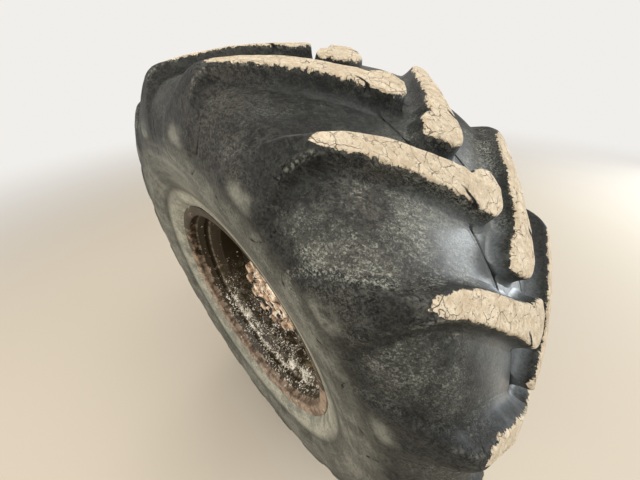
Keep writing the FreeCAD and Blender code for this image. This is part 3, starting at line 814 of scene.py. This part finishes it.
def lugSection(trailing, leading, ease, foot):
    # Angle and share of the height, from the leading foot over the top to the trailing foot.
    columns = tyreShape["topColumns"]
    runs = [(foot * run if run > 0 else ease * run, share) for run, share in sectionRows]
    section = [(leading - run, share) for run, share in runs]
    section += [(leading + ease + (trailing - leading - 2 * ease) * step / columns, 1.0)
                for step in range(1, columns)]
    return section + [(trailing + run, share) for run, share in reversed(runs)]


def lugMesh(name, side, tip):
    # One lug as a closed shell. side is -1 outboard and 1 inboard.
    shape = tyreShape
    rows = smoothRows(lugRows, shape["lugRowSpacing"])
    verts = []
    marks = {"clay": [], "along": [], "rise": [], "span": []}
    for across, radius, trailing, leading, lift, clay, ease, foot in rows:
        away = np.hypot(carcassCurve[:, 0] - abs(across), carcassCurve[:, 1] - radius)
        nearest = carcassCurve[np.argmin(away)]
        base = np.array([math.copysign(nearest[0], across), nearest[1]])
        top = np.array([across, radius - shape["topDrop"]])
        section = lugSection(trailing, leading, min(ease, (trailing - leading) * shape["widestEase"]), foot)
        for angle, share in section:
            place = base + (top - base) * (share * lift if share > 0 else share)
            verts.append(aroundAxle(side * place[0], place[1], math.radians(tip + angle)))
            # Clay is 0.5 at the lug's edge and grows with the distance from it.
            inward = math.radians(min(angle - leading, trailing - angle)) * radius * shape["clayTurn"]
            missing = 1.5 * (1 - max(share, 0)) + 1.6 * (1 - clay)
            marks["clay"].append(max(-0.8, max(-0.6, min(1.5, 0.5 + inward / shape["clayRun"])) - missing))
            marks["along"].append(across)
            marks["rise"].append(max(share * lift, 0) if lift > 0 else 0)
            marks["span"].append((angle - leading) / (trailing - leading))
    grid = (len(rows), len(section))
    obj = outwards(meshObject(name, verts, gridFaces(*grid) + endFaces(*grid)))
    addAttributes(obj, **marks)
    return obj


def buildTyre():
    shape = tyreShape
    carcass = turned("tyreCarcass", carcassOutline(), shape["segments"])
    addAttributes(carcass, clay=-1.0, along=0.0, rise=0.0, span=0.0)
    outboard = lugMesh("lugsOutboard", -1, shape["firstTip"])
    inboard = lugMesh("lugsInboard", 1, shape["firstTip"] - lugPitch / 2)
    for piece, count in ((carcass, 1), (outboard, lugCount), (inboard, lugCount)):
        repeated(piece, count, wornRubber, shape["wear"], shape["wearScale"], shape["wearFrom"])
    return joined("treadAndCarcass", [carcass, outboard, inboard])


finished(buildTyre(), "wheel", ["tyre"])

rimShape = {
    "segments": 192,
    "sharp": 50,              # degrees
    "weldPlace": (-0.0670, 0.2375),
    "weldRadius": 0.0045,
    "weldCorners": 10,
    "weldSegments": 240,
    "weldWear": 0.0022,
    "weldWearScale": 130.0,
}

# Outboard half of the rim's section, columns: across, radius. Lip, tyre side, then back along the open side.
rimTyreSide = [(0.2052, 0.29845), (0.2036, 0.2976), (0.2032, 0.2958), (0.2032, 0.2885), (0.2020, 0.2858),
               (0.1980, 0.2847), (0.1572, 0.2734), (0.1535, 0.2710), (0.1350, 0.2490), (0.1320, 0.2470)]
rimOpenSide = [(0.1290, 0.2390), (0.1325, 0.2400), (0.1345, 0.2425), (0.1365, 0.2440), (0.1395, 0.2450),
               (0.1520, 0.2605), (0.1535, 0.2630), (0.1555, 0.2646), (0.1590, 0.2656), (0.1640, 0.2664),
               (0.1662, 0.2652), (0.1684, 0.2652), (0.1706, 0.2672), (0.1830, 0.2708), (0.1846, 0.2722),
               (0.1866, 0.2730), (0.1970, 0.2752), (0.2000, 0.2742), (0.2022, 0.2748), (0.2046, 0.2782),
               (0.2064, 0.2835), (0.2077, 0.2900), (0.2077, 0.2960), (0.2068, 0.2980)]


def mirrored(rows):
    return [(-across, radius) for across, radius in rows]


def buildRim():
    outline = mirrored(rimTyreSide) + rimTyreSide[::-1] + rimOpenSide[::-1] + mirrored(rimOpenSide)
    rim = turned("rimBarrel", outline, rimShape["segments"], rimShape["sharp"])
    rim.data.materials.append(metal["rimRust"])
    return rim


def buildWeld():
    # A lumpy weld bead round the joint of disc and rim.
    shape = rimShape
    across, radius = shape["weldPlace"]
    size, corners = shape["weldRadius"], shape["weldCorners"]
    ring = [(across + size * math.cos(turn * 2 * math.pi / corners),
             radius + size * math.sin(turn * 2 * math.pi / corners)) for turn in range(corners)]
    weld = turned("discWeldBead", ring, shape["weldSegments"])
    return repeated(weld, 1, metal["rimRust"], shape["weldWear"], shape["weldWearScale"])


finished(buildRim(), "wheel", ["rim"])

discShape = {
    "segments": 160,
    "sharp": 50,              # degrees
    "face": -0.0300,          # across, where the nuts sit
    "plate": 0.0135,
    "spacing": 0.004,
}


def buildDisc():
    # Dished plate, columns: radius, across of its outboard face.
    shape = discShape
    face, edge = shape["face"], discHigh[2]
    rows = [(0.1408, face), (0.1700, face), (0.1930, face), (0.1985, face - 0.0030),
            (edge - 0.0170, face - 0.0310), (edge - 0.0100, face - 0.0355), (edge, face - 0.0360)]
    front = [(across, radius) for radius, across in smoothRows(rows, shape["spacing"])]
    back = [(across + shape["plate"], radius) for across, radius in reversed(front)]
    disc = turned("dishedDisc", front + back, shape["segments"], shape["sharp"])
    disc.data.materials.append(metal["discDirt"])
    return disc


finished(buildDisc(), "wheel", ["wheel_disc"])
finished(buildWeld(), "wheel")

coverShape = {
    "lobes": 12,
    "scallop": 0.0060,
    "scallopFrom": 0.098,     # radius from which the edge is scalloped
    "scallopRun": 0.015,
    "scallopDepth": 0.014,    # the scallops end this far from the cover's back
    "segments": 240,
    "spacing": 0.0028,
    "wear": 0.0050,
    "wearScale": 75.0,
    "boss": 0.0770,
    "bossHeight": 0.0140,
    "faceDepth": 0.006,       # what lies deeper than this below the face has no pockets
    "trench": 0.0055,         # middle of the groove round the boss, out from its radius, where shade is painted
    "trenchWidth": 0.0035,
    "boltCircle": 0.1010,
    "gapWidth": 0.0150,       # painted shade in the gaps between the bolts, to each side of their circle
    "pocketRadius": 0.1000,   # hollows between the bolts
    "pocketDepth": 0.0180,
    "pocketWidth": 0.0100,
    "pocketShares": (1.0, 0.5, 0.9, 0.3, 1.0, 0.8, 0.2, 1.0, 0.6, 1.0, 0.4, 0.9),
    "axisHole": 0.0005,       # radius that the turned shell leaves open at the axis
}
coverTop = coverLow[1] - wheelPlane
coverFace = coverTop + coverShape["bossHeight"]
coverBack = coverHigh[1] - wheelPlane


def coverOutline():
    # Columns: radius, across of the outboard face.
    top, face, back, boss = coverTop, coverFace, coverBack, coverShape["boss"]
    axis = coverShape["axisHole"]
    edge = coverHigh[2] - 0.0005
    rows = [(axis, top + 0.0010), (0.0300, top + 0.0010), (0.0360, top + 0.0040), (0.0420, top + 0.0065),
            (boss - 0.0180, top + 0.0060), (boss - 0.0100, top + 0.0010), (boss - 0.0050, top + 0.0012),
            (boss, top + 0.0060), (boss + 0.0030, face + 0.0010), (boss + 0.0050, face + 0.0040),
            (boss + 0.0080, face + 0.0040), (boss + 0.0110, face), (edge - 0.0070, face),
            (edge - 0.0020, face + 0.0020), (edge, face + 0.0070), (edge, face + 0.0240),
            (edge, back - 0.0120), (edge, back - 0.0100), (edge, back + 0.0002)]
    outline = [(across, radius) for radius, across in smoothRows(rows, coverShape["spacing"])]
    return outline + [(back + 0.0002, axis)]


def coverPockets(radius, turn):
    # Depth of the pocket between two bolts, and how much painted shade lies in the groove round the boss and
    # in the gaps between bolts.
    shape = coverShape
    lobe = turn * shape["lobes"] / (2 * math.pi)
    aside = (lobe % 1 - 0.5) * 2 * math.pi / shape["lobes"] * radius
    reach = math.hypot(radius - shape["pocketRadius"], aside * 0.8) / shape["pocketWidth"]
    pocket = int(turn / (2 * math.pi) * shape["lobes"] + shape["lobes"]) % shape["lobes"]
    sunk = math.exp(-reach ** 2) * shape["pocketShares"][pocket]
    trench = math.exp(-((radius - shape["boss"] - shape["trench"]) / shape["trenchWidth"]) ** 2)
    gap = max(0.0, 1 - abs(radius - shape["boltCircle"]) / shape["gapWidth"])
    return sunk, trench, gap


def buildCover():
    # Cast cover with a lobe round each bolt.
    shape = coverShape
    cover = turned("finalDriveCover", coverOutline(), shape["segments"])
    hollow = []
    for vertex in cover.data.vertices:
        radius = math.hypot(vertex.co.x, vertex.co.z)
        turn = math.atan2(vertex.co.z, vertex.co.x)
        across = vertex.co.y - wheelPlane
        share = between01((radius - shape["scallopFrom"]) / shape["scallopRun"])
        deep = 1 if across < coverBack - shape["scallopDepth"] else 0
        between = (0.5 - 0.5 * math.cos(shape["lobes"] * turn)) ** 2
        onFace = across < coverFace + shape["faceDepth"]
        sunk, trench, gap = coverPockets(radius, turn) if onFace else (0, 0, 0)
        # Painted shade: dark in the pockets, the groove round the boss, between the lobes and in the gaps
        # between the bolts.
        hollow.append(min(1.0, 1.4 * sunk + 0.15 * trench + 1.2 * between * share * deep + between * gap))
        factor = 1 - shape["scallop"] / radius * share * deep * between
        vertex.co.x *= factor
        vertex.co.z *= factor
        vertex.co.y += shape["pocketDepth"] * sunk
    addAttributes(cover, hollow=hollow)
    return repeated(cover, 1, metal["hubRust"], shape["wear"], shape["wearScale"])


finished(buildCover(), "wheel", ["hub_cover"])

crumbForm = {
    "clumpScale": 30,
    "clumps": (0.45, 0.62),
    "smallest": (0.4, 0.3, 0.2),      # shares of a crumb's size along, beside and up
    "largest": (2.0, 0.9, 0.6),
    "tilt": 0.5,                      # radians
}


def crumbTree():
    # Lumps of dried mud scattered on a surface where its attribute dirt lets them lie.
    form = crumbForm
    tree, given, result = newTree("crumbScatter", "GeometryNodeTree", {
        "Geometry": "Geometry", "Density": "Float", "Seed": "Int", "Smallest": "Float", "Largest": "Float",
        "Material": "Material"}, {"Geometry": "Geometry"})
    dirt = made(tree, "GeometryNodeInputNamedAttribute", {"Name": "dirt"}, "Attribute", data_type="FLOAT")
    noise = made(tree, "ShaderNodeTexNoise", {"Scale": form["clumpScale"]}, "Fac")
    clumped = made(tree, "ShaderNodeMapRange", {"Value": noise, "From Min": form["clumps"][0],
                                                "From Max": form["clumps"][1]}, "Result")
    points = made(tree, "GeometryNodeDistributePointsOnFaces", {
        "Mesh": given["Geometry"], "Density": dirt * clumped * given["Density"], "Seed": given["Seed"]})
    lump = made(tree, "GeometryNodeMeshIcoSphere", {"Radius": 1, "Subdivisions": 1})
    size = made(tree, "FunctionNodeRandomValue", {2: given["Smallest"], 3: given["Largest"],
                                                  "Seed": given["Seed"]}, 1, data_type="FLOAT")
    shape = made(tree, "FunctionNodeRandomValue", {"Min": form["smallest"], "Max": form["largest"]}, "Value",
                 data_type="FLOAT_VECTOR")
    copies = made(tree, "GeometryNodeInstanceOnPoints", {
        "Points": points, "Instance": lump, "Rotation": points.beside("Rotation"),
        "Scale": vectorCalc("SCALE", shape, Scale=size)})
    turn = made(tree, "FunctionNodeRandomValue", {"Min": (-form["tilt"], -form["tilt"], 0),
                                                  "Max": (form["tilt"], form["tilt"], 6.283)}, "Value",
                data_type="FLOAT_VECTOR")
    laid = made(tree, "GeometryNodeRotateInstances", {"Instances": copies, "Rotation": turn})
    real = made(tree, "GeometryNodeRealizeInstances", {"Geometry": laid})
    painted = made(tree, "GeometryNodeSetMaterial", {"Geometry": real, "Material": given["Material"]})
    setIn(result["Geometry"], painted)
    return tree


crumbScatter = crumbTree()


def crumbs(name, outline, dirtAt, look):
    # outline is (across, radius) points of the surface that the crumbs lie on, facing outboard or inwards.
    segments = 96
    verts, dirt = [], []
    for turn in range(segments):
        angle = 2 * math.pi * turn / segments
        for across, radius in outline:
            verts.append(aroundAxle(across, radius, angle))
            dirt.append(dirtAt(radius, angle))
    faces = gridFaces(segments, len(outline), rowsClosed=True, columnsClosed=False)
    obj = meshObject(name, verts, faces)
    addAttributes(obj, dirt=dirt)
    return passedThrough(obj, crumbScatter, {
        "Density": float(look["density"]), "Seed": look["seed"], "Smallest": look["sizes"][0],
        "Largest": look["sizes"][1], "Material": metal[look["material"]]})


rimCrumbs = {
    "density": 520000,        # crumbs on a square metre where dirt and clumps are full
    "sizes": (0.0006, 0.0034),
    "seed": 4,
    "material": "driedMud",
    "rowSpacing": 0.0020,
    "lowest": (0.02, 0.18),   # metres below the axle where crumbs begin to lie, and the run to the most
    "everywhere": 0.002,
    "streakTurns": 1050,      # radians of the streaks' wave in a metre of radius
}
coverLumps = {"density": 14000, "sizes": (0.0020, 0.0060), "seed": 9, "material": "hubRust",
              "edge": 0.105}
openRows = mirrored(rimOpenSide[:20][::-1])
discFront = [(-0.0660, 0.2360), (-0.0655, 0.2300), (-0.0605, 0.2235), (-0.0345, 0.2010), (-0.0300, 0.1950)]
coverEdgeRows = [(coverFace + 0.001, 0.0860), (coverFace + 0.001, 0.1030), (coverFace - 0.001, 0.1080),
                 (coverFace + 0.001, 0.1200)]


def lowDirt(radius, angle):
    # A swath in streaks on the well's flank, towards the bottom of the wheel. Less deeper in and on the disc.
    start, run = rimCrumbs["lowest"]
    low = between01((-radius * math.sin(angle) - start) / run)
    onFlank = between01((0.2660 - radius) / 0.003) * between01((radius - 0.2400) / 0.004)
    onDisc = 0.30 * between01((0.2350 - radius) / 0.006) + 0.30 * between01((0.2080 - radius) / 0.010)
    elsewhere = 0.10 * between01((0.2730 - radius) / 0.004)
    wave = math.sin(radius * rimCrumbs["streakTurns"] + 1.2 * math.sin(5 * angle))
    streak = 0.34 + 0.66 * (0.5 + 0.5 * wave)
    return rimCrumbs["everywhere"] + low ** 3.0 * max(onFlank * streak, onDisc, elsewhere)


def edgeDirt(radius, angle):
    # Along the cover's edge, and less between the bolts.
    return 1.0 if radius > coverLumps["edge"] else max(0.0, math.cos(coverShape["lobes"] * angle))


crumbRows = closerRows(openRows + discFront, rimCrumbs["rowSpacing"])
finished(crumbs("mudCrumbsInRim", crumbRows, lowDirt, rimCrumbs), "wheel")
finished(crumbs("mudLumpsOnCover", coverEdgeRows, edgeDirt, coverLumps), "wheel")

fastenerLook = {
    "sides": 24,
    "sharp": 32,              # degrees
    "wearScale": 90.0,
    "studShares": (1.002, 1.42, 1.5),   # heights of the stud's foot, shoulder and end, in heights of the nut
}

# Columns: name, node, radius and across of the seat, across flats, height, radius of the washer and of the
# stud, how many, wear.
fastenerRows = [
    ("wheelNutsOnStuds", "wheel_nuts", 0.1675, -0.0298, 0.0320, 0.0235, 0.0200, 0.0098, 10, 0.0010),
    ("coverBoltHeads", "cover_bolts", 0.1010, -0.1175, 0.0240, 0.0112, 0.0150, 0, 12, 0.0020),
    ("oilPlugHead", "oil_plug", 0.0, -0.1312, 0.0220, 0.0080, 0.0150, 0, 1, 0.0004),
]


def hexFastener(name, seat, across, flats, height, washer, stud, count, wear):
    # Hexagon head or nut on a washer, its top chamfered, with a stud's end if it has one.
    # Rings of points, columns: how round, radius, height.
    look = fastenerLook
    corner = flats / math.sqrt(3)
    rings = [(1.0, washer, 0.0), (1.0, washer, height * 0.10), (1.0, washer * 0.97, height * 0.14),
             (0.0, corner, height * 0.15), (0.0, corner, height * 0.90),
             (0.45, corner * 0.95, height * 0.975), (1.0, corner * 0.84, height)]
    if stud:
        foot, shoulder, end = look["studShares"]
        rings += [(1.0, stud, height * foot), (1.0, stud, height * shoulder), (1.0, stud * 0.8, height * end)]
    verts = []
    for roundness, radius, rise in rings:
        for turn in range(look["sides"]):
            angle = 2 * math.pi * turn / look["sides"]
            nearest = (angle + math.pi / 6) % (math.pi / 3) - math.pi / 6
            hexagon = math.cos(math.pi / 6) / math.cos(math.pi / 6 - abs(nearest))
            reach = radius * (roundness + (1 - roundness) * hexagon)
            verts.append((seat + reach * math.cos(angle), wheelPlane + across - rise,
                          reach * math.sin(angle)))
    grid = (len(rings), look["sides"])
    obj = outwards(meshObject(name, verts, gridFaces(*grid) + endFaces(*grid)))
    obj.data.set_sharp_from_angle(angle=math.radians(look["sharp"]))
    return repeated(obj, count, metal["boltSteel"], wear, look["wearScale"])


for name, node, *sizes in fastenerRows:
    finished(hexFastener(name, *sizes), "wheel", [node])

softLook = {
    "merge": 0.00002,         # metres
    "flat": 1.0,              # degrees
    "corner": 30,
    "sharp": 38,
    "segments": 2,
}

# Columns: name, node, material, width of the rounded corners, body, slot.
castingRows = [
    ("hubCasting", "wheel_hub", "castRust", 0.0030, "wheel", "hub"),
    ("valveStem", "valve_stem", "dullBrass", 0.0006, "wheel", "valve"),
    ("armCasting", "axle_arm", "axleCast", 0.0035, "axle_end", "axle"),
    ("spindleForging", "spindle", "axleCast", 0.0018, "axle_end", "axle"),
    ("spindleBoltHeads", "spindle_bolts", "boltSteel", 0.0012, "axle_end", "fasteners"),
]


def softened(name, node, material, width):
    # A copy of a CAD node with its corners rounded.
    look = softLook
    shell = bmesh.new()
    shell.from_mesh(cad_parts[node].data)
    bmesh.ops.remove_doubles(shell, verts=shell.verts, dist=look["merge"])
    bmesh.ops.dissolve_limit(shell, angle_limit=math.radians(look["flat"]), verts=shell.verts,
                             edges=shell.edges)
    mesh = bpy.data.meshes.new(name)
    shell.to_mesh(mesh)
    shell.free()
    obj = bpy.data.objects.new(name, mesh)
    bpy.context.scene.collection.objects.link(obj)
    mesh.materials.append(material)
    bevel = obj.modifiers.new("corners", "BEVEL")
    bevel.width = width
    bevel.segments = look["segments"]
    bevel.limit_method = "ANGLE"
    bevel.angle_limit = math.radians(look["corner"])
    evaluatedMesh(obj)
    obj.data.shade_smooth()
    obj.data.set_sharp_from_angle(angle=math.radians(look["sharp"]))
    return obj


for name, node, material, width, body, slot in castingRows:
    finished(softened(name, node, metal[material], width), body, [node])

stageLook = {
    "floorLevel": -tyreRadius,
    "floorSize": 40.0,
    "floorColour": (0.58, 0.51, 0.41, 1),
    "skyColour": (0.88, 0.86, 0.83, 1),
    "skyStrength": 0.50,
    "floorFade": (1.6, 5.0),  # metres from the wheel where the floor turns into the backdrop
}


def buildFloor():
    look = stageLook
    half = look["floorSize"] / 2
    corners = [(x * half, y * half, look["floorLevel"]) for x, y in ((-1, -1), (1, -1), (1, 1), (-1, 1))]
    floor = meshObject("paleFloor", corners, [(0, 1, 2, 3)], smooth=False)
    material, shader, place = newMaterial("plainFloor")
    tree = place.tree
    shader.inputs["Base Color"].default_value = look["floorColour"]
    shader.inputs["Roughness"].default_value = 0.9
    rays = made(tree, "ShaderNodeLightPath", output="Is Camera Ray")
    away = vectorCalc("LENGTH", place, output="Value")
    fade = most(rays, rays.beside("Is Glossy Ray")) * ramp(away, *look["floorFade"])
    glow = made(tree, "ShaderNodeEmission", {"Color": look["skyColour"]})
    blend = made(tree, "ShaderNodeMixShader", {0: fade, 1: Field(shader.outputs[0]), 2: glow})
    setIn(tree.nodes["Material Output"].inputs["Surface"], blend)
    floor.data.materials.append(material)
    floor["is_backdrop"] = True


def buildWorld():
    look = stageLook
    world = bpy.data.worlds.new("paleStudio")
    world.use_nodes = True
    tree = world.node_tree
    tree.nodes.clear()
    rays = made(tree, "ShaderNodeLightPath", output="Is Camera Ray")
    seen = most(rays, rays.beside("Is Glossy Ray"), rays.beside("Is Transmission Ray"))
    strength = ramp(seen, 0.0, 1.0, look["skyStrength"], 1.0, "LINEAR")
    background = made(tree, "ShaderNodeBackground", {"Color": look["skyColour"], "Strength": strength})
    setIn(tree.nodes.new("ShaderNodeOutputWorld").inputs["Surface"], background)
    bpy.context.scene.world = world


# Soft lamps, columns: name, place, watts, width and height, colour. Each looks at the wheel.
lampRows = [
    ("hallFront", (1.2, -2.2, 3.0), 40.0, (2.4, 1.2), (1.0, 0.98, 0.95)),
    ("hallAbove", (1.6, 0.2, 3.0), 42.0, (1.6, 2.0), (1.0, 0.98, 0.95)),
    ("hallSide", (-0.4, -3.0, 1.5), 42.0, (1.4, 1.0), (1.0, 0.98, 0.94)),
    ("doorGlow", (2.3, 3.1, 0.40), 120.0, (2.6, 1.8), (0.86, 0.93, 1.0)),
    ("hallBack", (-2.4, 1.4, 2.4), 35.0, (2.0, 1.4), (1.0, 0.98, 0.95)),
]


def buildLamps():
    for name, place, watts, spread, colour in lampRows:
        lamp = bpy.data.lights.new(name, "AREA")
        lamp.shape = "RECTANGLE"
        lamp.size, lamp.size_y = spread
        lamp.energy = watts
        lamp.color = colour
        obj = bpy.data.objects.new(name, lamp)
        obj.location = place
        aim = Vector((0, wheelPlane, 0)) - Vector(place)
        obj.rotation_euler = aim.to_track_quat("-Z", "Y").to_euler()
        bpy.context.scene.collection.objects.link(obj)


cameraView = {
    "place": (0.4334, wheelPlane - 0.3458, 0.5434),
    "turn": 2.3678,           # heading from +X towards +Y, radians
    "tilt": -0.6469,          # below the horizon, radians
    "roll": -0.024,
    "lens": 14.04,            # millimetres
    "sensor": 36,             # millimetres wide
    "nearest": 0.01,
}


def buildCamera():
    view = cameraView
    forward = Vector((math.cos(view["tilt"]) * math.cos(view["turn"]),
                      math.cos(view["tilt"]) * math.sin(view["turn"]), math.sin(view["tilt"])))
    right = forward.cross(Vector((0, 0, 1))).normalized()
    up = right.cross(forward)
    cosRoll, sinRoll = math.cos(view["roll"]), math.sin(view["roll"])
    rolledRight = cosRoll * right + sinRoll * up
    rolledUp = cosRoll * up - sinRoll * right
    lens = bpy.data.cameras.new("photoLens")
    lens.sensor_fit = "HORIZONTAL"
    lens.sensor_width = view["sensor"]
    lens.lens = view["lens"]
    lens.clip_start = view["nearest"]
    camera = bpy.data.objects.new("photoCamera", lens)
    turn = Matrix((rolledRight, rolledUp, -forward)).transposed().to_4x4()
    camera.matrix_world = Matrix.Translation(Vector(view["place"])) @ turn
    bpy.context.scene.collection.objects.link(camera)
    bpy.context.scene.camera = camera


buildFloor()
buildWorld()
buildLamps()
buildCamera()
bpy.context.scene.view_settings.view_transform = "Standard"
print("stage and camera ready")

sizes = {"cad": cadBox, "visual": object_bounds()}
